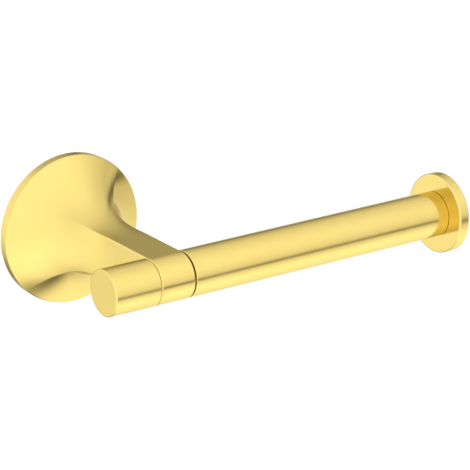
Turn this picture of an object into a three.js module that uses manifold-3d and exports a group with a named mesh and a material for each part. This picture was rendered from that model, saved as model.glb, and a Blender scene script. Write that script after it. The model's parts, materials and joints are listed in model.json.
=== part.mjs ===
// Wall mounted toilet paper holder with a free rolling arm. Millimetres, +Z up.
// The origin is the centre of the wall bracket's back face. +Y points into the wall and
// +X runs along the arm, away from the hub that carries it.
import * as THREE from 'three';
import { mergeVertices } from 'three/addons/utils/BufferGeometryUtils.js';
import Module from 'manifold-3d';

const wasm = await Module();
wasm.setup();

// Post, hub and wall flange, cast in one piece.
const barDiameter = 20;
const standOff = 76.5;
const hubWidth = 16.4;
const flangeDiameter = 66.6;
const flangeRim = 4.7;
const flareLength = 46;
const flareSpread = 3.4;
const flareRounding = 1.5;
const edgeBevel = 0.4;
const coreWall = 2.4;

// Bracket that the wall screws hold, inside the flange.
const bracketRadius = 26.6;
const bracketPlate = 2;
const bracketHeight = 3.6;
const bracketLip = 3.2;
const grooveDepth = 0.7;
const grooveHalfWidth = 1.2;
const grooveHalfFloor = 0.7;
const slotWidth = 5;
const slotLength = 9;
const slotRadius = 14;
const pocketClearance = 0.5;
const pocketFloorClearance = 0.2;
const pocketLedge = 2.4;
const grubFromWall = 2;
const grubRadius = 1.5;
const grubPoint = 0.5;
const grubPointLength = 1.2;
const grubRecess = 0.7;
const socketRadius = 0.9;
const socketDepth = 2;

// Spindle and the parts that clamp it in the hub.
const spindleRadius = 4;
const collarRadius = 6.9;
const collarThickness = 3;
const nutRadius = 7.5;
const nutThickness = 6.5;
const nutBevel = 0.8;
const washerRadius = 7;
const washerThickness = 1.2;
const springWasherRadius = 6.6;
const springWasherThickness = 1.6;
const springWasherSplit = 8;
const counterboreDepth = 7;
const counterboreClearance = 0.3;
const clipRadius = 7;
const clipThickness = 0.8;
const clipGrooveDepth = 0.8;
const clipOpening = 40;
const clipInset = 1.2;

// End cap that hides the nut.
const capLength = 22;
const capNutClearance = 0.6;
const capFace = 3;
const capBossRadius = 6.2;
const capBossLength = 11.2;
const capThreadDepth = 9;
const capBevel = 0.6;

// Rolling arm: tube, its bushes, and the disc that keeps the roll on.
const rollerLength = 133.7;
const tubeWall = 1.5;
const thrustWasherRadius = 8.8;
const thrustWasherThickness = 0.5;
const bushLength = 12;
const bushRelief = 0.7;
const bushLand = 3;
const bushInset = 1;
const plugLength = 12;
const plugGap = 1.8;
const studRadius = 3;
const studInPlug = 8.6;
const studInDisc = 3.2;
const discDiameter = 35.4;
const discThickness = 5.2;

// Clearances between pieces.
const turningClearance = 0.08;
const fitClearance = 0.1;
const pressClearance = 0.05;

// Places along the arm, measured from the middle of the hub.
const barRadius = barDiameter / 2;
const discRadius = discDiameter / 2;
const flangeRadius = flangeDiameter / 2;
const hubLeft = -hubWidth / 2;
const hubRight = hubWidth / 2;
const counterboreFloor = hubLeft + counterboreDepth;
const springWasherRight = counterboreFloor - washerThickness;
const nutRight = springWasherRight - springWasherThickness;
const nutLeft = nutRight - nutThickness;
const capLeft = hubLeft - capLength;
const capFloor = capLeft + capFace;
const capBossRight = capFloor + capBossLength;
const capThreadFloor = capBossRight - capThreadDepth;
const spindleLeft = capThreadFloor + fitClearance;
const rollerLeft = hubRight + thrustWasherThickness + fitClearance;
const rollerRight = rollerLeft + rollerLength;
const plugLeft = rollerRight - plugLength;
const spindleRight = plugLeft - plugGap;
const clipRight = spindleRight - clipInset;
const clipLeft = clipRight - clipThickness;
const outerBushRight = clipLeft - turningClearance;
const discRight = rollerRight + discThickness;
const innerBushLeft = rollerLeft + bushInset;
const tubeBore = barRadius - tubeWall;

// Places through the flange, measured along Y from the wall.
const rimY = -flangeRim;
const flareY = rimY - flareLength;
const pocketRadius = bracketRadius + pocketClearance;
const pocketY = -bracketHeight - pocketFloorClearance;
const overcut = 1;

const fineSides = 64;
const coarseSides = 32;

const metals = {
  gold: { color: 0xe3c878, roughness: 0.32, metalness: 1 },
  steel: { color: 0xb9bcc0, roughness: 0.35, metalness: 1 },
  zinc: { color: 0x9fa1a3, roughness: 0.5, metalness: 1 },
  nylon: { color: 0xe9e6dc, roughness: 0.6, metalness: 0 },
  blackNylon: { color: 0x26241f, roughness: 0.6, metalness: 0 },
};

function piece(name, geometry, finish) {
  const mesh = new THREE.Mesh(geometry, new THREE.MeshStandardMaterial(metals[finish]));
  mesh.name = name;
  return mesh;
}

// Solids for cutting and joining.
function solid(geometry) {
  const bare = geometry.clone();
  bare.deleteAttribute('normal');
  bare.deleteAttribute('uv');
  const merged = mergeVertices(bare, 1e-4);
  const vertProperties = new Float32Array(merged.attributes.position.array);
  const triVerts = new Uint32Array(merged.index.array);
  return new wasm.Manifold(new wasm.Mesh({ numProp: 3, vertProperties, triVerts }));
}

function geometryOf(body) {
  const { vertProperties, triVerts } = body.getMesh();
  const geometry = new THREE.BufferGeometry();
  geometry.setAttribute('position', new THREE.BufferAttribute(vertProperties, 3));
  geometry.setIndex(new THREE.BufferAttribute(triVerts, 1));
  geometry.computeVertexNormals();
  return geometry;
}

function cut(geometry, ...tools) {
  return geometryOf(tools.reduce((body, tool) => body.subtract(solid(tool)), solid(geometry)));
}

// A turned shape from [radius, distance along X] pairs.
function turned(profile, sides = coarseSides) {
  const points = profile.map(([radius, along]) => new THREE.Vector2(radius, along));
  return new THREE.LatheGeometry(points, sides).rotateZ(-Math.PI / 2);
}

function shaft(radius, left, right, bevel = 0, sides = coarseSides) {
  if (bevel === 0) {
    return turned([[0, left], [radius, left], [radius, right], [0, right]], sides);
  }
  return turned([
    [0, left],
    [radius - bevel, left],
    [radius, left + bevel],
    [radius, right - bevel],
    [radius - bevel, right],
    [0, right],
  ], sides);
}

function sleeve(inner, outer, left, right, bevel, sides = coarseSides) {
  return turned([
    [inner, left],
    [outer - bevel, left],
    [outer, left + bevel],
    [outer, right - bevel],
    [outer - bevel, right],
    [inner, right],
    [inner, left],
  ], sides);
}

function hexagon(radius, left, right) {
  return shaft(radius, left, right, 0, 6);
}

// A ring cut open by an angle in degrees, lying square to the arm.
function splitRing(inner, outer, left, right, opening) {
  const start = THREE.MathUtils.degToRad(opening / 2) - Math.PI / 2;
  const end = start + 2 * Math.PI - THREE.MathUtils.degToRad(opening);
  const shape = new THREE.Shape();
  shape.absarc(0, 0, outer, start, end, false);
  shape.absarc(0, 0, inner, end, start, true);
  const settings = { depth: right - left, bevelEnabled: false, curveSegments: coarseSides / 2 };
  return new THREE.ExtrudeGeometry(shape, settings).rotateY(Math.PI / 2).translate(left, 0, 0);
}

// A closed skin over rows of points, each row running the same way round.
function lofted(rows) {
  const count = rows[0].length;
  const points = rows.flat();
  const firstCentre = points.length;
  const lastRow = firstCentre - count;
  points.push(new THREE.Vector3(0, rows[0][0].y, 0));
  points.push(new THREE.Vector3(0, rows.at(-1)[0].y, 0));
  const index = [];
  for (let i = 0; i < count; i += 1) {
    const next = (i + 1) % count;
    index.push(firstCentre, i, next);
    index.push(firstCentre + 1, lastRow + next, lastRow + i);
    for (let row = 0; row < lastRow; row += count) {
      index.push(row + i, row + next + count, row + next);
      index.push(row + i, row + i + count, row + next + count);
    }
  }
  return new THREE.BufferGeometry().setFromPoints(points).setIndex(index);
}

// The bar's outline as [point, direction] pairs. The direction is where on the flange's
// circle the point ends up: each corner of the rectangle runs out to 45 degrees.
const pointsPerSide = 17;

function barOutline(halfWidth, halfHeight) {
  const outline = [];
  const eighthTurn = Math.PI / 4 * (1 - 1 / pointsPerSide);
  const origin = new THREE.Vector2();
  for (let side = 0; side < 4; side += 1) {
    const turn = side * Math.PI / 2;
    const [reach, run] = side % 2 === 0 ? [halfWidth, halfHeight] : [halfHeight, halfWidth];
    for (let step = 0; step < pointsPerSide; step += 1) {
      const share = 2 * step / (pointsPerSide - 1) - 1;
      const point = new THREE.Vector2(reach, share * (run - edgeBevel)).rotateAround(origin, turn);
      const angle = turn + share * eighthTurn;
      outline.push([point, new THREE.Vector2(Math.cos(angle), Math.sin(angle))]);
    }
  }
  return outline;
}

// One cross-section of the post, square to Y. It is the bar's rectangle at share 0 and a
// circle at share 1. On the way it first turns round at the bar's own size, then spreads.
function section(y, share, halfWidth, halfHeight, radius) {
  const outline = barOutline(halfWidth, halfHeight);
  const barSize = outline.reduce((sum, [point]) => sum + point.length(), 0) / outline.length;
  const spread = share ** flareSpread;
  const roundness = share ** flareRounding;
  const size = barSize * (roundness - spread) + radius * spread;
  return outline.map(([point, direction]) => {
    const place = point.multiplyScalar(1 - roundness).addScaledVector(direction, size);
    return new THREE.Vector3(place.x, y, place.y);
  });
}

const flareRows = 18;

function postSkin() {
  const halfWidth = hubWidth / 2;
  const frontRadius = flangeRadius - edgeBevel;
  const rows = [section(-standOff, 0, halfWidth, barRadius, frontRadius)];
  for (let step = 0; step <= flareRows; step += 1) {
    const share = step / flareRows;
    rows.push(section(flareY + flareLength * share, share, halfWidth, barRadius, frontRadius));
  }
  rows.push(section(rimY + edgeBevel, 1, halfWidth, barRadius, flangeRadius));
  rows.push(section(-edgeBevel, 1, halfWidth, barRadius, flangeRadius));
  rows.push(section(0, 1, halfWidth, barRadius, frontRadius));
  return lofted(rows);
}

// The hollow behind the flare: the skin moved one wall thickness inwards, square to its
// slope, and no wider than the ledge in front of the bracket leaves it.
const coreRows = 12;

function postCore() {
  const rows = [];
  for (let step = 0; step <= coreRows; step += 1) {
    const share = step / coreRows;
    const rise = (flangeRadius - barRadius) * flareSpread * share ** (flareSpread - 1);
    const slope = Math.atan2(rise, flareLength);
    const inset = coreWall * Math.cos(slope);
    const y = flareY + flareLength * share + coreWall * Math.sin(slope);
    rows.push(section(y, share, hubWidth / 2 - inset, barRadius - inset, flangeRadius - inset));
  }
  const mouth = pocketRadius - pocketLedge;
  const limit = new THREE.CylinderGeometry(mouth, mouth, 2 * standOff, fineSides);
  return geometryOf(solid(lofted(rows)).intersect(solid(limit)));
}

function onHubAxis(geometry) {
  return geometry.translate(0, -standOff, 0);
}

// Turned about Z, from [radius, height] pairs.
function upright(profile) {
  const points = profile.map(([radius, height]) => new THREE.Vector2(radius, height));
  return new THREE.LatheGeometry(points, coarseSides / 2).rotateX(Math.PI / 2);
}

function postBody() {
  const hub = onHubAxis(shaft(barRadius, hubLeft, hubRight, edgeBevel, fineSides));
  const pocket = new THREE.CylinderGeometry(pocketRadius, pocketRadius, overcut - pocketY, fineSides);
  pocket.translate(0, (overcut + pocketY) / 2, 0);
  const bore = onHubAxis(shaft(spindleRadius + fitClearance, hubLeft - overcut, hubRight + overcut));
  const nutSeat = onHubAxis(
    shaft(nutRadius + counterboreClearance, hubLeft - overcut, counterboreFloor),
  );
  const collarSeat = onHubAxis(
    hexagon(collarRadius + fitClearance, hubRight - collarThickness, hubRight + overcut),
  );
  const grubHole = upright([
    [0, -flangeRadius - overcut],
    [grubRadius + fitClearance, -flangeRadius - overcut],
    [grubRadius + fitClearance, -pocketRadius + overcut],
    [0, -pocketRadius + overcut],
  ]).translate(0, -grubFromWall, 0);
  const blank = geometryOf(solid(postSkin()).add(solid(hub)));
  return cut(blank, pocket, postCore(), bore, nutSeat, collarSeat, grubHole);
}

// The bracket is a shallow dish. Its rim has a V groove that the grub screw draws in.
function wallBracket() {
  const lip = bracketRadius - bracketLip;
  const dish = new THREE.LatheGeometry([
    [0, -bracketPlate],
    [lip, -bracketPlate],
    [lip, -bracketHeight],
    [bracketRadius, -bracketHeight],
    [bracketRadius, -grubFromWall - grooveHalfWidth],
    [bracketRadius - grooveDepth, -grubFromWall - grooveHalfFloor],
    [bracketRadius - grooveDepth, -grubFromWall + grooveHalfFloor],
    [bracketRadius, -grubFromWall + grooveHalfWidth],
    [bracketRadius, 0],
    [0, 0],
  ].map(([radius, y]) => new THREE.Vector2(radius, y)), fineSides);
  const slot = new THREE.Shape();
  const end = (slotLength - slotWidth) / 2;
  slot.absarc(end, 0, slotWidth / 2, -Math.PI / 2, Math.PI / 2, false);
  slot.absarc(-end, 0, slotWidth / 2, Math.PI / 2, Math.PI * 3 / 2, false);
  const depth = bracketPlate + 2 * overcut;
  const slots = [0, 1, 2, 3].map((quarter) => {
    const tool = new THREE.ExtrudeGeometry(slot, { depth, bevelEnabled: false, curveSegments: 10 });
    tool.rotateX(Math.PI / 2).translate(0, overcut, slotRadius);
    return tool.rotateY(quarter * Math.PI / 2);
  });
  return cut(dish, ...slots);
}

function bracketGrubScrew() {
  const head = -flangeRadius + grubRecess;
  const tip = -bracketRadius + grooveDepth - fitClearance;
  const body = upright([
    [0, head],
    [grubRadius, head],
    [grubRadius, tip - grubPointLength],
    [grubPoint, tip],
    [0, tip],
  ]);
  const socket = new THREE.CylinderGeometry(socketRadius, socketRadius, socketDepth + overcut, 6);
  socket.rotateX(Math.PI / 2).translate(0, 0, head + (socketDepth - overcut) / 2);
  return cut(body, socket).translate(0, -grubFromWall, 0);
}

// The spindle stays still. Its hexagonal collar keys it in the hub, the nut clamps it, and
// the clip in its groove keeps the rolling arm on.
function spindle() {
  const core = spindleRadius - clipGrooveDepth;
  const body = turned([
    [0, spindleLeft],
    [spindleRadius - edgeBevel, spindleLeft],
    [spindleRadius, spindleLeft + edgeBevel],
    [spindleRadius, clipLeft - pressClearance],
    [core, clipLeft - pressClearance],
    [core, clipRight + pressClearance],
    [spindleRadius, clipRight + pressClearance],
    [spindleRadius, spindleRight - edgeBevel],
    [spindleRadius - edgeBevel, spindleRight],
    [0, spindleRight],
  ]);
  const collar = hexagon(collarRadius, hubRight - collarThickness, hubRight);
  return geometryOf(solid(body).add(solid(collar)));
}

function spindleNut() {
  const blank = solid(hexagon(nutRadius, nutLeft, nutRight));
  const rounded = blank.intersect(solid(shaft(nutRadius, nutLeft, nutRight, nutBevel)));
  const thread = shaft(spindleRadius + pressClearance, nutLeft - overcut, nutRight + overcut);
  return geometryOf(rounded.subtract(solid(thread)));
}

function endCap() {
  const bore = nutRadius + capNutClearance;
  const thread = spindleRadius + pressClearance;
  return turned([
    [0, capLeft],
    [barRadius - capBevel, capLeft],
    [barRadius, capLeft + capBevel],
    [barRadius, hubLeft - edgeBevel],
    [barRadius - edgeBevel, hubLeft],
    [bore, hubLeft],
    [bore, capFloor],
    [capBossRadius, capFloor],
    [capBossRadius, capBossRight],
    [thread, capBossRight],
    [thread, capThreadFloor],
    [0, capThreadFloor],
  ], fineSides);
}

// A spool shaped bush: only its two lands touch the tube.
function bush(left) {
  const inner = spindleRadius + turningClearance;
  const outer = tubeBore - pressClearance;
  const right = left + bushLength;
  return turned([
    [inner, left],
    [outer, left],
    [outer, left + bushLand],
    [outer - bushRelief, left + bushLand],
    [outer - bushRelief, right - bushLand],
    [outer, right - bushLand],
    [outer, right],
    [inner, right],
    [inner, left],
  ]);
}

function discStud() {
  const left = rollerRight - studInPlug;
  const body = shaft(studRadius, left, rollerRight + studInDisc, edgeBevel);
  return cut(body, hexagon(studRadius / 2, left - overcut, left + socketDepth));
}

function endDisc() {
  const holeEnd = rollerRight + studInDisc + fitClearance;
  return turned([
    [0, holeEnd],
    [studRadius + pressClearance, holeEnd],
    [studRadius + pressClearance, rollerRight],
    [discRadius - edgeBevel, rollerRight],
    [discRadius, rollerRight + edgeBevel],
    [discRadius, discRight - edgeBevel],
    [discRadius - edgeBevel, discRight],
    [0, discRight],
  ], fineSides);
}

const shankHole = spindleRadius + fitClearance;
const runningHole = spindleRadius + turningClearance;
const clipHole = spindleRadius - clipGrooveDepth + pressClearance;
const thrustWasherRight = hubRight + thrustWasherThickness;
const washerBevel = 0.1;

// What stays still on the hub axis.
const clamped = new THREE.Group();
clamped.add(piece('spindle', spindle(), 'steel'));
clamped.add(piece(
  'spindle_washer',
  sleeve(shankHole, washerRadius, springWasherRight, counterboreFloor, washerBevel),
  'steel',
));
clamped.add(piece(
  'spindle_spring_washer',
  splitRing(shankHole, springWasherRadius, nutRight, springWasherRight, springWasherSplit),
  'steel',
));
clamped.add(piece('spindle_nut', spindleNut(), 'steel'));
clamped.add(piece('end_cap', endCap(), 'gold'));
clamped.add(piece(
  'thrust_washer',
  sleeve(runningHole, thrustWasherRadius, hubRight, thrustWasherRight, washerBevel),
  'blackNylon',
));
clamped.add(piece(
  'retaining_clip',
  splitRing(clipHole, clipRadius, clipLeft, clipRight, clipOpening),
  'steel',
));

// What rolls with the paper.
const roller = new THREE.Group();
roller.add(piece(
  'roller_tube',
  sleeve(tubeBore, barRadius, rollerLeft, rollerRight, edgeBevel, fineSides),
  'gold',
));
roller.add(piece('inner_bush', bush(innerBushLeft), 'nylon'));
roller.add(piece('outer_bush', bush(outerBushRight - bushLength), 'nylon'));
roller.add(piece(
  'tube_plug',
  sleeve(studRadius + pressClearance, tubeBore - pressClearance, plugLeft, rollerRight, edgeBevel),
  'zinc',
));
roller.add(piece('disc_stud', discStud(), 'steel'));
roller.add(piece('end_disc', endDisc(), 'gold'));

const arm = new THREE.Group();
arm.position.y = -standOff;
arm.add(clamped, roller);

const holder = new THREE.Group();
holder.add(piece('post_body', postBody(), 'gold'));
holder.add(piece('wall_bracket', wallBracket(), 'zinc'));
holder.add(piece('bracket_grub_screw', bracketGrubScrew(), 'steel'));
holder.add(arm);

export default holder;
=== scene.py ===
"""A wall mounted toilet paper holder in satin gold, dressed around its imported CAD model.

Metres. +X runs along the arm, +Y into the wall, +Z up.
"""

import json
import math

import bmesh
import bpy
from mathutils import Matrix, Vector


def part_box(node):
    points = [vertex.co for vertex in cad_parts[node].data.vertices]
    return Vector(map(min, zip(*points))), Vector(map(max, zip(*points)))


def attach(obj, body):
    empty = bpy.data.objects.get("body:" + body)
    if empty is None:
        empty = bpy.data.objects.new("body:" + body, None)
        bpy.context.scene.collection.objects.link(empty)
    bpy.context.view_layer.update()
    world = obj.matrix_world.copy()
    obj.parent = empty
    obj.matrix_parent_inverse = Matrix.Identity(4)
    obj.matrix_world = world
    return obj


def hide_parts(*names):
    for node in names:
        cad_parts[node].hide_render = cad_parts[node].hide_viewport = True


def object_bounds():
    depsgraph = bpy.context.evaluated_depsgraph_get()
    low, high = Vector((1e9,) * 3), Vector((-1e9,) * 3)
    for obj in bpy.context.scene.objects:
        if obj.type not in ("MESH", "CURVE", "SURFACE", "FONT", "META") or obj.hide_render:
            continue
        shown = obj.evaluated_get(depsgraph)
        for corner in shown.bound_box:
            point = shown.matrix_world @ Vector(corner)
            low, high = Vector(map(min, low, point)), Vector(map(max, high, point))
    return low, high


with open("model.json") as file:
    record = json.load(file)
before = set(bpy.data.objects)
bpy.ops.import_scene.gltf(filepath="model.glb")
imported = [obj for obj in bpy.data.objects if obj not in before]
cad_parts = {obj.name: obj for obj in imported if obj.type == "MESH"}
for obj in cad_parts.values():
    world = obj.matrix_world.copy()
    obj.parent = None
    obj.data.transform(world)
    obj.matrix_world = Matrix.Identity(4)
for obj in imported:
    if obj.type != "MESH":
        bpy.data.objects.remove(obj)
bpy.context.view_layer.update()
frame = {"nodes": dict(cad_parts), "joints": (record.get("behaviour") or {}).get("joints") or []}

MM = 0.001

# The post. Its outline is the bar's rectangle at the hub and a circle at the wall.
FLANGE_RIM = 4.7 * MM
FLARE_LENGTH = 46 * MM
FLARE_SPREAD = 3.4
FLARE_ROUNDING = 1.5
CORE_WALL = 2.4 * MM
POCKET_CLEARANCE = 0.5 * MM
POCKET_FLOOR_CLEARANCE = 0.2 * MM
POCKET_LEDGE = 2.4 * MM
NUT_SEAT_CLEARANCE = 0.3 * MM
COLLAR_THICKNESS = 3 * MM
COLLAR_RADIUS = 6.9 * MM

# The end cap's inside.
CAP_FACE = 3 * MM
CAP_NUT_CLEARANCE = 0.6 * MM
CAP_BOSS_RADIUS = 6.2 * MM
CAP_BOSS_LENGTH = 11.2 * MM
CAP_THREAD_DEPTH = 9 * MM

# The shanks that holes take, and the clearances round them.
SPINDLE_RADIUS = 4 * MM
STUD_RADIUS = 3 * MM
FIT_CLEARANCE = 0.1 * MM
PRESS_CLEARANCE = 0.05 * MM

# The grub screw's socket and point.
SOCKET_RADIUS = 0.9 * MM
SOCKET_DEPTH = 2 * MM
GRUB_POINT = 0.5 * MM
GRUB_POINT_LENGTH = 1.2 * MM
HEXAGON = 6

# Edge radii, the seam between the cap and the hub and the join between the tube and the disc.
POST_EDGE = 0.45 * MM
CAP_FACE_EDGE = 0.5 * MM
TUBE_EDGE = 0.3 * MM
DISC_EDGE = 0.65 * MM
FINE_EDGE = 0.1 * MM
SEAM_WIDTH = 0.3 * MM
SEAM_DEPTH = 0.9 * MM
JOIN_WIDTH = 0.18 * MM
JOIN_DEPTH = 0.4 * MM

# Mesh steps. HOLD is how far from a rounded corner its flat faces begin, in edge radii.
TURNED_SIDES = 192
SCREW_SIDES = 48
EDGE_STEPS = 6
RIM_STEPS = 10
SIDE_STEPS = 40
CORNER_STEPS = 7
HUB_STEPS = 48
BAR_STEPS = 10
FLARE_STEPS = 72
CORE_STEPS = 24
HOLD = 1.2
WELD = 1e-7
OVERCUT = 1 * MM
SHARP_ANGLE = math.radians(32)

# Edge wear and painted highlight: outer edges are lighter, partly from wear and partly as a painted
# highlight. Edges that bend less than the first angle below from face to face have none.
WEAR_AND_HIGHLIGHT_LAYER = "edge_wear_and_highlight"
UNMARKED_BEND = math.radians(5)
FULLY_MARKED_BEND = math.radians(12)

# Colours.
WHITE = (1, 1, 1, 1)
GOLD = (0.957, 0.747, 0.242, 1)
GOLD_DEEP = (0.945, 0.727, 0.225, 1)
# Lighter gold for outer edges: partly wear, partly a painted highlight.
GOLD_WORN_AND_HIGHLIT = (0.97, 0.78, 0.30, 1)
GOLD_AT_GRAZING = (0.97, 0.91, 0.68, 1)
STEEL = (0.62, 0.63, 0.65, 1)
STEEL_DARK = (0.50, 0.51, 0.53, 1)
# Lighter steel for outer edges: partly wear, partly a painted highlight.
STEEL_WORN_AND_HIGHLIT = (0.8, 0.8, 0.8, 1)
ZINC = (0.58, 0.59, 0.60, 1)
ZINC_DARK = (0.44, 0.45, 0.47, 1)
NYLON = (0.88, 0.86, 0.80, 1)
NYLON_DARK = (0.80, 0.78, 0.71, 1)
BLACK_NYLON = (0.09, 0.06, 0.02, 1)
BLACK_NYLON_DARK = (0.05, 0.034, 0.013, 1)
FLOOR = (0.9, 0.9, 0.9, 1)

# The gold's finish. Pairs here and below are the ends of a range. Noise mostly lies in NOISE.
NOISE = (0.3, 0.7)
GRAIN_PER_METRE = 5200
DRIFT_PER_METRE = 90
CLOUDS_PER_METRE = 55
CLOUD_SHARE = 0.6
CLOUD_ROUGHNESS = (-0.01, 0.01)
GOLD_TONES = (0.38, 0.62)
# How far outer edges turn to the lighter gold: partly wear, partly a painted highlight.
GOLD_WEAR_AND_HIGHLIGHT = 0.6
GOLD_WEAR_POLISH = 0.03
GOLD_GRAIN_DEPTH = 0.00035 * MM
CAST_ROUGHNESS = (0.03, 0.07)
TURNED_ROUGHNESS = (0.07, 0.13)
HAIRLINE_STRETCH = 0.9

# The steel's and the nylon's finish.
STEEL_GRAIN_PER_METRE = 2500
STEEL_GRAIN_DEPTH = 0.001 * MM
STEEL_ROUGHNESS = (0.24, 0.38)
ZINC_GRAIN_PER_METRE = 1200
ZINC_GRAIN_DEPTH = 0.004 * MM
ZINC_ROUGHNESS = (0.36, 0.50)
STEEL_CLOUDS_PER_METRE = 165
STEEL_TONES = (0.35, 0.65)
STEEL_POINTINESS = (0.51, 0.6)
# How far outer steel edges turn lighter: partly wear, partly a painted highlight.
STEEL_WEAR_AND_HIGHLIGHT = 0.5
NYLON_GRAIN_PER_METRE = 3000
NYLON_GRAIN_DEPTH = 0.002 * MM
NYLON_CLOUDS_PER_METRE = 200
NYLON_ROUGHNESS = (0.45, 0.58)

# What the gold mirrors: a white studio, with soft-edged darker and lighter places in it. Each has the
# azimuth, elevation and tilt of its middle in degrees, its half width, its half height and its light.
# PLACE_DEPTH keeps a wide place from reaching the far side of the studio.
# The white and all places but "far behind the arm" are a scratch program's fit to the photo, rounded.
STUDIO_WHITE = 1.17
STUDIO_BLACK = 0.04
STUDIO_PLACES = {
    "room on the right": (90, 12, 40, 0.45, 0.10, -0.55),
    "right of the camera": (125, 15, 50, 2.4, 0.35, -0.25),
    "right half": (80, 3, 30, 2.5, 0.50, -0.50),
    "far right corner": (55, 20, -15, 0.60, 0.12, -0.20),
    "behind the arm": (52, -8, 65, 0.13, 0.10, -0.55),
    "far behind the arm": (37, -8, 0, 0.10, 0.20, -0.15),
    "gap at the horizon": (145, -16, 40, 0.65, 0.10, -0.50),
    "straight below": (190, -75, 90, 0.70, 0.18, -0.80),
    "behind the wall": (3, -30, 20, 0.50, 2.6, -0.80),
    "high on the left": (-55, 55, -45, 2.4, 0.80, -0.25),
    "low on the left": (-10, -60, 45, 0.65, 0.15, 0.10),
    "lit floor": (160, -55, 5, 1.5, 0.30, 0.20),
    "above the wall's edge": (10, 25, 50, 0.30, 0.15, -0.25),
    "left of the wall's foot": (-10, -15, 0, 0.20, 0.25, -0.35),
    "right of the wall's edge": (25, 5, 60, 0.15, 0.35, -0.10),
}
PLACE_DEPTH = 0.6
MIRRORED_TWICE_LOSS = 0.25

# Light and floor. Angles in degrees.
SKY_LIGHT = 0.6
KEY_LIGHT = 1.5
KEY_SPREAD = 22
KEY_AZIMUTH = -140
KEY_ELEVATION = 64
FLOOR_DROP = 0.22
FLOOR_SIZE = 8.0
FLOOR_GLOW = 0.1
FLOOR_ROUGHNESS = 0.9

# The camera, as a scratch program fitted it to the outlines in the photo. Angles in degrees, lens and
# sensor in millimetres.
CAMERA_AZIMUTH = 35.52
CAMERA_ELEVATION = 19.90
CAMERA_ROLL = 0.465
CAMERA_DISTANCE = 1.0259
CAMERA_LENS = 189.25
CAMERA_SENSOR = 36
CAMERA_NEAR = 0.05
CAMERA_FAR = 50
AIM_ALONG_ARM = 34.7 * MM
AIM_ABOVE_ARM = 11.8 * MM

# Places, from the frame.
HUB_Y = frame["joints"][0]["pos_m"][1]
BAR_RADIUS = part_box("end_cap")[1].z
CAP_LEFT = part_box("end_cap")[0].x
HUB_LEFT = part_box("end_cap")[1].x
HUB_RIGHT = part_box("thrust_washer")[0].x
FLANGE_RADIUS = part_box("post_body")[1].x
FLARE_Y = -FLANGE_RIM - FLARE_LENGTH


def build(name, points, faces):
    """A closed mesh from points and faces, with its doubles merged and its faces pointing out."""
    mesh = bpy.data.meshes.new(name)
    mesh.from_pydata([tuple(point) for point in points], [], faces)
    work = bmesh.new()
    work.from_mesh(mesh)
    bmesh.ops.remove_doubles(work, verts=work.verts, dist=WELD)
    bmesh.ops.dissolve_degenerate(work, edges=work.edges, dist=WELD)
    bmesh.ops.recalc_face_normals(work, faces=work.faces)
    work.to_mesh(mesh)
    work.free()
    return link(name, mesh)


def link(name, mesh):
    """An object in the scene that shows a mesh."""
    piece = bpy.data.objects.new(name, mesh)
    bpy.context.scene.collection.objects.link(piece)
    return piece


def smooth(piece):
    """Smooth faces, with a crease wherever two of them meet at more than SHARP_ANGLE, and marked edge
    wear and painted highlight.
    """
    piece.data.shade_smooth()
    piece.data.set_sharp_from_angle(angle=SHARP_ANGLE)
    mark_wear_and_highlight(piece)
    return piece


def mark_wear_and_highlight(piece):
    """Stores at each point its share of edge wear and painted highlight: 0 on even and hollow places, up
    to 1 on an outer edge.
    """
    work = bmesh.new()
    work.from_mesh(piece.data)
    edge_wear_and_highlight = work.verts.layers.float.new(WEAR_AND_HIGHLIGHT_LAYER)
    for vertex in work.verts:
        bend = max(edge.calc_face_angle_signed(0) for edge in vertex.link_edges)
        share = (bend - UNMARKED_BEND) / (FULLY_MARKED_BEND - UNMARKED_BEND)
        vertex[edge_wear_and_highlight] = min(1, max(0, share))
    work.to_mesh(piece.data)
    work.free()


def subtract(piece, *cutters):
    """Cuts each cutter from the piece and deletes it."""
    for cutter in cutters:
        step = piece.modifiers.new("cut", "BOOLEAN")
        step.operation = "DIFFERENCE"
        step.solver = "EXACT"
        step.object = cutter
    depsgraph = bpy.context.evaluated_depsgraph_get()
    mesh = bpy.data.meshes.new_from_object(piece.evaluated_get(depsgraph))
    piece.modifiers.clear()
    blank = piece.data
    piece.data = mesh
    bpy.data.meshes.remove(blank)
    mesh.name = piece.name
    for cutter in cutters:
        bpy.data.objects.remove(cutter)
    return piece


def filleted(profile):
    """(radius, along, edge) corners to (radius, along) points, each corner rounded by its edge.

    A point just before each rounded edge and one just after it keep the faces beside it flat.
    """
    points = []
    for i, (radius, along, edge) in enumerate(profile):
        corner = Vector((radius, along))
        if edge == 0:
            points.append(corner)
            continue
        before = Vector(profile[i - 1][:2]) - corner
        after = Vector(profile[(i + 1) % len(profile)][:2]) - corner
        start = before.normalized() * edge
        end = after.normalized() * edge
        points.append(corner + start * HOLD)
        for step in range(EDGE_STEPS + 1):
            turn = math.pi / 2 * step / EDGE_STEPS
            points.append(corner + end * (1 - math.cos(turn)) + start * (1 - math.sin(turn)))
        points.append(corner + end * HOLD)
    return points


def turned(name, profile, sides=TURNED_SIDES, place=None):
    """A shape turned about the arm's axis from (radius, along X, edge) corners.

    The profile starts and ends on the axis, or it closes on itself. place moves the axis.
    """
    place = place or Matrix.Translation((0, HUB_Y, 0))
    rows = filleted(profile)
    closed = rows[0].x > WELD
    points = []
    for row in rows:
        for side in range(sides):
            turn = 2 * math.pi * side / sides
            points.append(place @ Vector((row.y, row.x * math.cos(turn), row.x * math.sin(turn))))
    faces = []
    for i in range(len(rows) if closed else len(rows) - 1):
        low = i * sides
        high = (i + 1) % len(rows) * sides
        for side in range(sides):
            after = (side + 1) % sides
            faces.append((low + side, low + after, high + after, high + side))
    return build(name, points, faces)


def rod(name, radius, left, right, sides, place=None):
    """A plain cutter along X, or along the axis that place gives."""
    profile = [(0, left, 0), (radius, left, 0), (radius, right, 0), (0, right, 0)]
    return turned(name, profile, sides, place)


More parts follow.
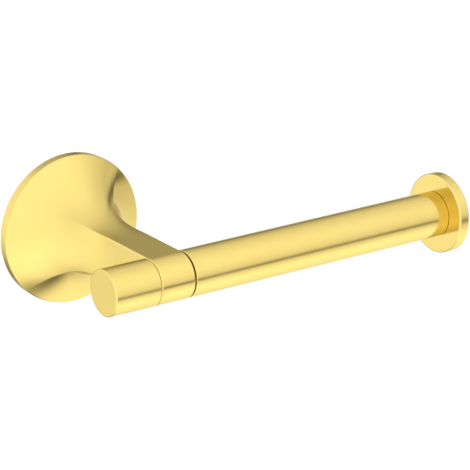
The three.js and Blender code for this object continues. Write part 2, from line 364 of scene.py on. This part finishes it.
def bar_outline(half_width, half_height):
    """The bar's rounded rectangle as (point, angle) pairs.

    The angle is where on the flange's circle the point ends up: each corner runs out to 45 degrees.
    """
    outline = []
    corner_turn = math.pi / 4 / SIDE_STEPS
    for side in range(4):
        quarter = side * math.pi / 2
        turning = Matrix.Rotation(quarter, 2)
        reach, run = (half_width, half_height) if side % 2 == 0 else (half_height, half_width)
        for step in range(SIDE_STEPS):
            share = 2 * step / (SIDE_STEPS - 1) - 1
            point = turning @ Vector((reach, share * (run - POST_EDGE)))
            outline.append((point, quarter + share * (math.pi / 4 - corner_turn)))
        for step in range(1, CORNER_STEPS):
            share = step / CORNER_STEPS
            turn = share * math.pi / 2
            round_off = POST_EDGE * Vector((math.cos(turn), math.sin(turn)))
            point = turning @ (Vector((reach - POST_EDGE, run - POST_EDGE)) + round_off)
            outline.append((point, quarter + math.pi / 4 + (2 * share - 1) * corner_turn))
    return outline


def perimeter(share, half_width, half_height, radius):
    """One outline of the post, as (x, z) points: the bar's at share 0, a circle at share 1.

    On the way it first turns round at the bar's own size, then spreads.
    """
    outline = bar_outline(half_width, half_height)
    bar_size = sum(point.length for point, _ in outline) / len(outline)
    spread = share ** FLARE_SPREAD
    roundness = share ** FLARE_ROUNDING
    size = bar_size * (roundness - spread) + radius * spread
    return [point * (1 - roundness) + size * Vector((math.cos(angle), math.sin(angle)))
            for point, angle in outline]


def at_depth(outline, y):
    """An outline's points at one distance from the wall."""
    return [Vector((x, y, z)) for x, z in outline]


def round_hub(bar, turn):
    """The bar's outline with its upper and lower half turned about the arm's axis, towards the front."""
    return [Vector((x, HUB_Y - abs(z) * math.sin(turn), z * math.cos(turn))) for x, z in bar]


def post_rows():
    """The post's outlines, from the front of the hub over the flange and into its hollow."""
    front = FLANGE_RADIUS - POST_EDGE
    bar = perimeter(0, HUB_RIGHT, BAR_RADIUS, front)
    rows = [round_hub(bar, math.pi / 2 * (1 - step / HUB_STEPS)) for step in range(HUB_STEPS + 1)]
    for step in range(1, BAR_STEPS):
        rows.append(at_depth(bar, HUB_Y + (FLARE_Y - HUB_Y) * step / BAR_STEPS))
    for step in range(FLARE_STEPS + 1):
        share = step / FLARE_STEPS
        outline = perimeter(share, HUB_RIGHT, BAR_RADIUS, front)
        rows.append(at_depth(outline, FLARE_Y + FLARE_LENGTH * share))
    return rows + rim_rows() + hollow_rows()


def flare_slope(share):
    """The angle between the skin and the post's axis."""
    rise = (FLANGE_RADIUS - BAR_RADIUS) * FLARE_SPREAD * share ** (FLARE_SPREAD - 1)
    return math.atan2(rise, FLARE_LENGTH)


def ring(radius, y):
    """A circle of the flange, with as many points as the bar's outline."""
    return at_depth(perimeter(1, BAR_RADIUS, BAR_RADIUS, radius), y)


def rim_rows():
    """The rim's rounded edges. The front one runs on from the flare's slope without a crease."""
    slope = flare_slope(1)
    front_edge = POST_EDGE / (1 - math.cos(slope))
    middle_y = -FLANGE_RIM + front_edge * math.sin(slope)
    rows = []
    for step in range(1, RIM_STEPS + 1):
        turn = slope * (1 - step / RIM_STEPS)
        rows.append(ring(FLANGE_RADIUS - front_edge * (1 - math.cos(turn)),
                         middle_y - front_edge * math.sin(turn)))
    rows.append(ring(FLANGE_RADIUS, middle_y + POST_EDGE * (HOLD - 1)))
    rows.append(ring(FLANGE_RADIUS, -POST_EDGE * HOLD))
    for step in range(RIM_STEPS + 1):
        turn = math.pi / 2 * step / RIM_STEPS
        rows.append(ring(FLANGE_RADIUS - POST_EDGE * (1 - math.cos(turn)),
                         -POST_EDGE * (1 - math.sin(turn))))
    return rows + [ring(FLANGE_RADIUS - POST_EDGE * HOLD, 0)]


def hollow_rows():
    """The pocket that takes the bracket, and the hollow behind the flare.

    The hollow is the skin moved one wall thickness inwards, square to its slope, and no wider
    than the ledge in front of the bracket leaves it.
    """
    bracket_low, bracket_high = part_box("wall_bracket")
    pocket = bracket_high.x + POCKET_CLEARANCE
    floor_y = bracket_low.y - POCKET_FLOOR_CLEARANCE
    mouth = pocket - POCKET_LEDGE
    rows = [ring(pocket, 0), ring(pocket, floor_y), ring(mouth, floor_y)]
    for step in range(CORE_STEPS + 1):
        share = 1 - step / CORE_STEPS
        slope = flare_slope(share)
        inset = CORE_WALL * math.cos(slope)
        y = FLARE_Y + FLARE_LENGTH * share + CORE_WALL * math.sin(slope)
        if y < floor_y:
            outline = perimeter(share, HUB_RIGHT - inset, BAR_RADIUS - inset, FLANGE_RADIUS - inset)
            rows.append(at_depth([point * min(1, mouth / point.length) for point in outline], y))
    return rows


def post_skin():
    """The post's closed surface, before its holes are cut."""
    rows = post_rows()
    count = len(rows[0])
    points = [point for row in rows for point in row]
    points.append(Vector((0, rows[-1][0].y, 0)))
    tip = len(points) - 1
    faces = []
    for i in range(len(rows) - 1):
        for side in range(count):
            after = (side + 1) % count
            low, high = i * count, (i + 1) * count
            faces.append((low + side, low + after, high + after, high + side))
    last = (len(rows) - 1) * count
    faces += [(last + side, last + (side + 1) % count, tip) for side in range(count)]
    return build("post", points, faces)


def upward(y):
    """The grub screw's axis: straight up through the bottom of the rim."""
    return Matrix.Translation((0, y, 0)) @ Matrix.Rotation(-math.pi / 2, 4, "Y")


def make_post():
    """The casting with its holes: the spindle's bore, nut seat and hexagon seat, and the grub screw's."""
    washer_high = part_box("spindle_washer")[1]
    grub_low, grub_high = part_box("bracket_grub_screw")
    grub_y = (grub_low.y + grub_high.y) / 2
    nut_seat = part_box("spindle_nut")[1].y - HUB_Y + NUT_SEAT_CLEARANCE
    shank = SPINDLE_RADIUS + FIT_CLEARANCE
    return smooth(subtract(
        post_skin(),
        rod("bore", shank, HUB_LEFT - OVERCUT, HUB_RIGHT + OVERCUT, SCREW_SIDES),
        rod("seat", nut_seat, HUB_LEFT - OVERCUT, washer_high.x, SCREW_SIDES),
        rod("key", COLLAR_RADIUS + FIT_CLEARANCE, HUB_RIGHT - COLLAR_THICKNESS,
            HUB_RIGHT + OVERCUT, HEXAGON),
        rod("grub_hole", grub_high.x + FIT_CLEARANCE, -FLANGE_RADIUS - OVERCUT,
            grub_high.z, SCREW_SIDES, upward(grub_y)),
    ))


def make_cap():
    """A cup with a boss inside for the spindle's thread. Its edge stops short of the hub: the seam."""
    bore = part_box("spindle_nut")[1].y - HUB_Y + CAP_NUT_CLEARANCE
    floor = CAP_LEFT + CAP_FACE
    boss_end = floor + CAP_BOSS_LENGTH
    thread_floor = boss_end - CAP_THREAD_DEPTH
    thread = SPINDLE_RADIUS + PRESS_CLEARANCE
    return smooth(turned("cap", [
        (0, CAP_LEFT, 0),
        (BAR_RADIUS, CAP_LEFT, CAP_FACE_EDGE),
        (BAR_RADIUS, HUB_LEFT - SEAM_WIDTH, FINE_EDGE),
        (BAR_RADIUS - SEAM_DEPTH, HUB_LEFT - SEAM_WIDTH, 0),
        (BAR_RADIUS - SEAM_DEPTH, HUB_LEFT, 0),
        (bore, HUB_LEFT, FINE_EDGE),
        (bore, floor, 0),
        (CAP_BOSS_RADIUS, floor, 0),
        (CAP_BOSS_RADIUS, boss_end, FINE_EDGE),
        (thread, boss_end, FINE_EDGE),
        (thread, thread_floor, 0),
        (0, thread_floor, 0),
    ]))


def make_tube():
    """The arm's tube. A fine groove at its right end is the join with the disc."""
    low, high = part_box("roller_tube")
    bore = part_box("inner_bush")[1].z + PRESS_CLEARANCE
    return smooth(turned("tube", [
        (bore, low.x, FINE_EDGE),
        (BAR_RADIUS, low.x, TUBE_EDGE),
        (BAR_RADIUS, high.x - JOIN_WIDTH, FINE_EDGE),
        (BAR_RADIUS - JOIN_DEPTH, high.x - JOIN_WIDTH, 0),
        (BAR_RADIUS - JOIN_DEPTH, high.x, 0),
        (bore, high.x, FINE_EDGE),
    ]))


def make_disc():
    """The stop disc, with a blind hole for its stud."""
    low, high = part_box("end_disc")
    hole = STUD_RADIUS + PRESS_CLEARANCE
    hole_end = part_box("disc_stud")[1].x + FIT_CLEARANCE
    return smooth(turned("disc", [
        (0, hole_end, 0),
        (hole, hole_end, 0),
        (hole, low.x, 0),
        (high.z, low.x, DISC_EDGE),
        (high.z, high.x, DISC_EDGE),
        (0, high.x, 0),
    ]))


def make_gap_washer():
    """The dark washer in the gap between the hub and the tube."""
    low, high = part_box("thrust_washer")
    hole = SPINDLE_RADIUS + PRESS_CLEARANCE
    return smooth(turned("gap_washer", [
        (hole, low.x, 0),
        (high.z, low.x, FINE_EDGE),
        (high.z, high.x, FINE_EDGE),
        (hole, high.x, 0),
    ]))


def make_grub_screw():
    """The grub screw, with a point at its upper end and a hexagon socket at its lower one."""
    low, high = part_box("bracket_grub_screw")
    place = upward((low.y + high.y) / 2)
    socket = rod("socket", SOCKET_RADIUS, low.z - OVERCUT, low.z + SOCKET_DEPTH, HEXAGON, place)
    body = turned("grub_screw", [
        (0, low.z, 0),
        (high.x, low.z, FINE_EDGE),
        (high.x, high.z - GRUB_POINT_LENGTH, 0),
        (GRUB_POINT, high.z, 0),
        (0, high.z, 0),
    ], SCREW_SIDES, place)
    return smooth(subtract(body, socket))


class Nodes:
    """Short calls for a node tree."""

    def __init__(self, tree):
        self.tree = tree

    def add(self, kind, **values):
        node = self.tree.nodes.new(kind)
        for name, value in values.items():
            setattr(node, name, value)
        return node

    def feed(self, socket, value):
        if isinstance(value, bpy.types.NodeSocket):
            self.tree.links.new(value, socket)
        elif value is not None:
            socket.default_value = value

    def math(self, operation, first, second=None, clamp=False):
        node = self.add("ShaderNodeMath", operation=operation, use_clamp=clamp)
        self.feed(node.inputs[0], first)
        self.feed(node.inputs[1], second)
        return node.outputs[0]

    def vector(self, operation, first, second=None):
        node = self.add("ShaderNodeVectorMath", operation=operation)
        self.feed(node.inputs[0], first)
        self.feed(node.inputs[1], second)
        scalar = operation in ("DOT_PRODUCT", "LENGTH", "DISTANCE")
        return node.outputs[1 if scalar else 0]

    def combine(self, x, y, z):
        node = self.add("ShaderNodeCombineXYZ")
        for socket, value in zip(node.inputs, (x, y, z)):
            self.feed(socket, value)
        return node.outputs[0]

    def noise(self, place, scale, detail=2.0, roughness=0.5):
        node = self.add("ShaderNodeTexNoise")
        self.feed(node.inputs["Vector"], place)
        node.inputs["Scale"].default_value = scale
        node.inputs["Detail"].default_value = detail
        node.inputs["Roughness"].default_value = roughness
        return node.outputs[0]

    def between(self, value, low, high, start=0.0, end=1.0):
        """Takes value from low..high to start..end, and holds it there."""
        node = self.add("ShaderNodeMapRange", interpolation_type="SMOOTHSTEP")
        self.feed(node.inputs[0], value)
        for socket, number in zip(node.inputs[1:5], (low, high, start, end)):
            socket.default_value = number
        return node.outputs[0]

    def mix(self, share, first, second):
        node = self.add("ShaderNodeMix", data_type="RGBA")
        self.feed(node.inputs[0], share)
        self.feed(node.inputs[6], first)
        self.feed(node.inputs[7], second)
        return node.outputs[2]


def material(name):
    """A new material with its Nodes and its Principled shader."""
    made = bpy.data.materials.new(name)
    made.use_nodes = True
    nodes = Nodes(made.node_tree)
    shader = made.node_tree.nodes["Principled BSDF"]
    return made, nodes, shader


def bumped(nodes, shader, height, depth):
    """Raises a shader's surface by depth where height is 1."""
    bump = nodes.add("ShaderNodeBump")
    bump.inputs["Strength"].default_value = 1.0
    bump.inputs["Distance"].default_value = depth
    nodes.feed(bump.inputs["Height"], height)
    nodes.feed(shader.inputs["Normal"], bump.outputs[0])


def object_place(nodes):
    """The place on the object, in metres."""
    return nodes.add("ShaderNodeTexCoord").outputs["Object"]


def around_arm(nodes):
    """Hairlines that run round the arm's axis, and rings on the faces square to it."""
    parts = nodes.add("ShaderNodeSeparateXYZ")
    nodes.feed(parts.inputs[0], object_place(nodes))
    y = nodes.math("SUBTRACT", parts.outputs[1], HUB_Y)
    z = parts.outputs[2]
    radius = nodes.math("SQRT", nodes.math("ADD", nodes.math("MULTIPLY", y, y),
                                           nodes.math("MULTIPLY", z, z)))
    return nodes.combine(
        nodes.math("MULTIPLY", nodes.math("ADD", parts.outputs[0], radius), GRAIN_PER_METRE),
        nodes.math("MULTIPLY", y, DRIFT_PER_METRE),
        nodes.math("MULTIPLY", z, DRIFT_PER_METRE),
    )


def along_post(nodes):
    """Hairlines that run along the post, out from the wall."""
    scale = (GRAIN_PER_METRE, DRIFT_PER_METRE, GRAIN_PER_METRE)
    return nodes.vector("MULTIPLY", object_place(nodes), scale)


def across_hairlines(nodes):
    """The direction square to the arm's hairlines, in which its gloss is the softer."""
    out = nodes.vector("SUBTRACT", object_place(nodes), (0, HUB_Y, 0))
    around = nodes.vector("CROSS_PRODUCT", (1, 0, 0), out)
    normal = nodes.add("ShaderNodeNewGeometry").outputs["Normal"]
    return nodes.vector("NORMALIZE", nodes.vector("CROSS_PRODUCT", around, normal))


def gold(name, grain_place, roughness, hairlines=None):
    """Satin gold: fine grain, a drifting tone and smoother edges, lighter partly from wear and partly as
    a painted highlight.

    grain_place makes the grain's coordinates. hairlines, if any, makes the direction of the softer gloss.
    """
    made, nodes, shader = material(name)
    grain = nodes.noise(grain_place(nodes), 1.0, detail=3.0, roughness=0.6)
    clouds = nodes.noise(object_place(nodes), CLOUDS_PER_METRE, detail=4.0)
    edge_wear_and_highlight = nodes.add("ShaderNodeAttribute", attribute_name=WEAR_AND_HIGHLIGHT_LAYER).outputs["Fac"]
    tone = nodes.math("ADD", nodes.math("MULTIPLY", clouds, CLOUD_SHARE),
                      nodes.math("MULTIPLY", grain, 1 - CLOUD_SHARE))
    colour = nodes.mix(nodes.between(tone, *GOLD_TONES), GOLD_DEEP, GOLD)
    # Outer edges lighter: partly wear, partly a painted highlight.
    colour = nodes.mix(nodes.math("MULTIPLY", edge_wear_and_highlight, GOLD_WEAR_AND_HIGHLIGHT), colour, GOLD_WORN_AND_HIGHLIT)
    rough = nodes.math("ADD", nodes.between(grain, *NOISE, *roughness),
                       nodes.between(clouds, *NOISE, *CLOUD_ROUGHNESS))
    rough = nodes.math("SUBTRACT", rough, nodes.math("MULTIPLY", edge_wear_and_highlight, GOLD_WEAR_POLISH))
    shader.inputs["Metallic"].default_value = 1.0
    shader.inputs["Specular Tint"].default_value = GOLD_AT_GRAZING
    nodes.feed(shader.inputs["Base Color"], colour)
    nodes.feed(shader.inputs["Roughness"], rough)
    if hairlines:
        shader.inputs["Anisotropic"].default_value = HAIRLINE_STRETCH
        nodes.feed(shader.inputs["Tangent"], hairlines(nodes))
    bumped(nodes, shader, grain, GOLD_GRAIN_DEPTH)
    return made


def metal(name, light, dark, roughness, grain_per_metre, grain_depth):
    """Turned or plated steel: fine speckle, cloudy tone and brighter edges, partly from wear and partly
    as a painted highlight.
    """
    made, nodes, shader = material(name)
    place = object_place(nodes)
    grain = nodes.noise(place, grain_per_metre, detail=4.0, roughness=0.6)
    clouds = nodes.noise(place, STEEL_CLOUDS_PER_METRE, detail=3.0)
    pointiness = nodes.add("ShaderNodeNewGeometry").outputs["Pointiness"]
    # Outer edges brighter: partly wear, partly a painted highlight.
    edge_wear_and_highlight = nodes.math("MULTIPLY", nodes.between(pointiness, *STEEL_POINTINESS), STEEL_WEAR_AND_HIGHLIGHT)
    colour = nodes.mix(nodes.between(clouds, *STEEL_TONES), dark, light)
    shader.inputs["Metallic"].default_value = 1.0
    nodes.feed(shader.inputs["Base Color"], nodes.mix(edge_wear_and_highlight, colour, STEEL_WORN_AND_HIGHLIT))
    nodes.feed(shader.inputs["Roughness"], nodes.between(grain, *NOISE, *roughness))
    bumped(nodes, shader, grain, grain_depth)
    return made


def plastic(name, light, dark):
    """Moulded nylon: fine grain and a slightly cloudy tone."""
    made, nodes, shader = material(name)
    place = object_place(nodes)
    grain = nodes.noise(place, NYLON_GRAIN_PER_METRE, detail=3.0)
    clouds = nodes.noise(place, NYLON_CLOUDS_PER_METRE, detail=3.0)
    nodes.feed(shader.inputs["Base Color"], nodes.mix(nodes.between(clouds, *NOISE), dark, light))
    nodes.feed(shader.inputs["Roughness"], nodes.between(grain, *NOISE, *NYLON_ROUGHNESS))
    bumped(nodes, shader, grain, NYLON_GRAIN_DEPTH)
    return made


def dress(piece, made, body=None, replaces=()):
    """Gives a piece its material and, where it isn't a CAD node, its body and its nodes."""
    piece.data.materials.clear()
    piece.data.materials.append(made)
    if body:
        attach(piece, body)
        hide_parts(*replaces)


def dress_all():
    """Makes the materials and the smooth pieces, and dresses them and the CAD nodes that stay."""
    turned_gold = gold("satin_gold_turned", around_arm, TURNED_ROUGHNESS, across_hairlines)
    steel = metal("turned_steel", STEEL, STEEL_DARK, STEEL_ROUGHNESS,
                  STEEL_GRAIN_PER_METRE, STEEL_GRAIN_DEPTH)
    zinc = metal("plated_steel", ZINC, ZINC_DARK, ZINC_ROUGHNESS,
                 ZINC_GRAIN_PER_METRE, ZINC_GRAIN_DEPTH)
    nylon = plastic("nylon", NYLON, NYLON_DARK)
    black = plastic("black_nylon", BLACK_NYLON, BLACK_NYLON_DARK)
    cast_gold = gold("satin_gold_cast", along_post, CAST_ROUGHNESS)

    dress(make_post(), cast_gold, "holder", ["post_body"])
    dress(make_cap(), turned_gold, "holder", ["end_cap"])
    dress(make_gap_washer(), black, "holder", ["thrust_washer"])
    dress(make_grub_screw(), steel, "holder", ["bracket_grub_screw"])
    dress(make_tube(), turned_gold, "roller", ["roller_tube"])
    dress(make_disc(), turned_gold, "roller", ["end_disc"])

    for node in ("spindle", "spindle_nut", "spindle_washer", "spindle_spring_washer",
                 "retaining_clip", "tube_plug", "disc_stud"):
        dress(frame["nodes"][node], steel)
    for node in ("inner_bush", "outer_bush"):
        dress(frame["nodes"][node], nylon)
    dress(frame["nodes"]["wall_bracket"], zinc)


def toward(azimuth, elevation):
    """A direction from its angle to the right of +Y and its angle up, in degrees."""
    turn = math.radians(azimuth)
    rise = math.radians(elevation)
    return Vector((math.sin(turn) * math.cos(rise), math.cos(turn) * math.cos(rise), math.sin(rise)))


def soft_place(nodes, direction, azimuth, elevation, tilt, width, height):
    """How much of a soft-edged place of the studio lies in a direction, from 0 to 1.

    The place is an ellipse. Its half width and half height are sines of angles.
    """
    middle = toward(azimuth, elevation)
    side = toward(azimuth + 90, 0)
    rise = side.cross(middle)
    turning = Matrix.Rotation(math.radians(tilt), 3, middle)
    side = turning @ side
    rise = turning @ rise
    offset = nodes.vector("SUBTRACT", direction, tuple(middle))
    shares = nodes.combine(
        nodes.vector("DOT_PRODUCT", offset, tuple(side / width)),
        nodes.vector("DOT_PRODUCT", offset, tuple(rise / height)),
        nodes.vector("DOT_PRODUCT", offset, tuple(middle / PLACE_DEPTH)),
    )
    square = nodes.vector("DOT_PRODUCT", shares, shares)
    return nodes.math("POWER", math.e, nodes.math("MULTIPLY", square, -1.0))


def surroundings(nodes, direction):
    """The light that comes from a direction of the studio."""
    level = STUDIO_WHITE
    for azimuth, elevation, tilt, width, height, light in STUDIO_PLACES.values():
        share = soft_place(nodes, direction, azimuth, elevation, tilt, width, height)
        level = nodes.math("ADD", level, nodes.math("MULTIPLY", share, light))
    return nodes.math("MAXIMUM", level, STUDIO_BLACK)


def make_world():
    """The studio: plain white for the camera, its places for what the metal mirrors, else even light.

    What the metal shows after a second mirroring is darker.
    """
    world = bpy.data.worlds.new("studio")
    bpy.context.scene.world = world
    world.use_nodes = True
    nodes = Nodes(world.node_tree)
    background = world.node_tree.nodes["Background"]
    background.inputs["Color"].default_value = WHITE
    rays = nodes.add("ShaderNodeLightPath").outputs
    direction = nodes.vector("NORMALIZE", nodes.add("ShaderNodeTexCoord").outputs["Generated"])
    seen = nodes.math("MAXIMUM", rays["Is Camera Ray"], rays["Is Transmission Ray"])
    again = nodes.math("SUBTRACT", rays["Glossy Depth"], 1.0, clamp=True)
    kept = nodes.math("SUBTRACT", 1.0, nodes.math("MULTIPLY", again, MIRRORED_TWICE_LOSS))
    studio = nodes.math("MULTIPLY", surroundings(nodes, direction), kept)
    mirrored = nodes.math("MULTIPLY", rays["Is Glossy Ray"],
                          nodes.math("SUBTRACT", studio, SKY_LIGHT))
    white = nodes.math("MULTIPLY", seen, 1.0 - SKY_LIGHT)
    level = nodes.math("ADD", nodes.math("ADD", mirrored, white), SKY_LIGHT)
    nodes.feed(background.inputs["Strength"], level)


def make_lamp():
    """One broad, even light from above, in front and on the left. The metal doesn't mirror it."""
    data = bpy.data.lights.new("key", "SUN")
    data.energy = KEY_LIGHT
    data.angle = math.radians(KEY_SPREAD)
    lamp = bpy.data.objects.new("key", data)
    lamp.rotation_euler = toward(KEY_AZIMUTH, KEY_ELEVATION).to_track_quat("Z", "Y").to_euler()
    lamp.visible_glossy = False
    bpy.context.scene.collection.objects.link(lamp)


def make_floor():
    """A pale floor that keeps the holder's soft shadow. It glows a little, for the camera alone."""
    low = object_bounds()[0]
    mesh = bpy.data.meshes.new("floor")
    half = FLOOR_SIZE / 2
    corners = [(-half, -half, 0), (half, -half, 0), (half, half, 0), (-half, half, 0)]
    mesh.from_pydata(corners, [], [(0, 1, 2, 3)])
    floor = link("floor", mesh)
    floor.location = (0, 0, low[2] - FLOOR_DROP)
    floor.visible_glossy = False
    made, nodes, shader = material("pale_floor")
    camera_ray = nodes.add("ShaderNodeLightPath").outputs["Is Camera Ray"]
    shader.inputs["Base Color"].default_value = FLOOR
    shader.inputs["Roughness"].default_value = FLOOR_ROUGHNESS
    shader.inputs["Emission Color"].default_value = WHITE
    nodes.feed(shader.inputs["Emission Strength"], nodes.math("MULTIPLY", camera_ray, FLOOR_GLOW))
    mesh.materials.append(made)


def make_camera():
    """The camera stands left of the hub and above it, and looks at a point on the arm."""
    data = bpy.data.cameras.new("camera")
    data.lens = CAMERA_LENS
    data.sensor_width = CAMERA_SENSOR
    data.clip_start = CAMERA_NEAR
    data.clip_end = CAMERA_FAR
    camera = bpy.data.objects.new("camera", data)
    aim = Vector((AIM_ALONG_ARM, HUB_Y, AIM_ABOVE_ARM))
    back = toward(180 + CAMERA_AZIMUTH, CAMERA_ELEVATION)
    level = back.to_track_quat("Z", "Y").to_matrix().to_4x4()
    roll = Matrix.Rotation(math.radians(CAMERA_ROLL), 4, "Z")
    camera.matrix_world = Matrix.Translation(aim + back * CAMERA_DISTANCE) @ level @ roll
    bpy.context.scene.collection.objects.link(camera)
    bpy.context.scene.camera = camera


make_camera()
dress_all()
make_floor()
make_lamp()
make_world()
bpy.context.scene.view_settings.view_transform = "Standard"
